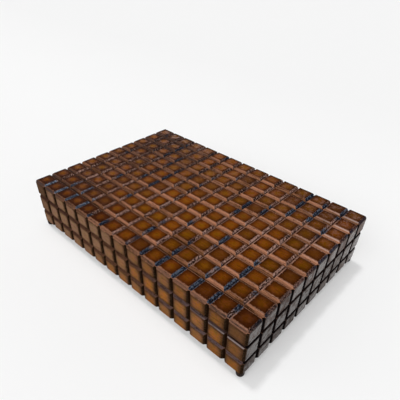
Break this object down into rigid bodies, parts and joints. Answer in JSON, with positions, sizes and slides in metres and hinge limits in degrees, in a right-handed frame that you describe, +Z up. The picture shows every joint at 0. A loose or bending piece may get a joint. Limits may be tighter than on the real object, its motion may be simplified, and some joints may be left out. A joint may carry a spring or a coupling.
{
  "type": "lidded document box",
  "caption": "Low rectangular wooden box for papers with a hinged lid, its top and sides carved as a grid of bevelled square blocks, on small peg feet.",
  "frame": {"origin": "centre of the box in plan, on the surface that its feet stand on", "axes": "+X along the length to the right, +Y across the width to the hinged back, +Z up"},
  "size_m": [0.381, 0.254, 0.0783],
  "materials": {
    "block_wood": "amber stained and gloss lacquered, edges burnt dark",
    "plain_wood": "dark stained, satin",
    "plywood": "bare sanded plywood",
    "canvas": "cotton canvas, glued",
    "lining_cloth": "dark brown cloth with a short nap",
    "foot_wood": "ebonised, gloss",
    "hinge_brass": "satin, slightly aged",
    "screw_brass": "satin, slightly aged"
  },
  "bodies": {
    "box": {"front_wall": "block_wood", "back_wall": "block_wood", "left_wall": "block_wood", "right_wall": "block_wood", "bottom_panel": "plain_wood", "floor_lining": "lining_cloth", "foot_front_left": "foot_wood", "foot_front_right": "foot_wood", "foot_back_left": "foot_wood", "foot_back_right": "foot_wood", "hinge_body_leaf_left": "hinge_brass", "hinge_body_leaf_right": "hinge_brass", "hinge_pin_left": "hinge_brass", "hinge_pin_right": "hinge_brass", "body_hinge_screws": "screw_brass", "bottom_screws": "screw_brass"},
    "lid": {"lid_slat_1": "block_wood", "lid_slat_2": "block_wood", "lid_slat_3": "block_wood", "lid_slat_4": "block_wood", "lid_slat_5": "block_wood", "lid_slat_6": "block_wood", "lid_slat_7": "block_wood", "lid_slat_8": "block_wood", "lid_slat_9": "block_wood", "lid_slat_10": "block_wood", "lid_canvas": "canvas", "lid_panel": "plywood", "lid_lining": "lining_cloth", "hinge_lid_leaf_left": "hinge_brass", "hinge_lid_leaf_right": "hinge_brass", "lid_hinge_screws": "screw_brass"}
  },
  "joints": [
    {"name": "lid_hinge", "type": "hinge", "parent": "box", "child": "lid", "pos_m": [0, 0.12458, 0.05415], "axis": [-1, 0, 0], "range_deg": [0, 100]}
  ]
}
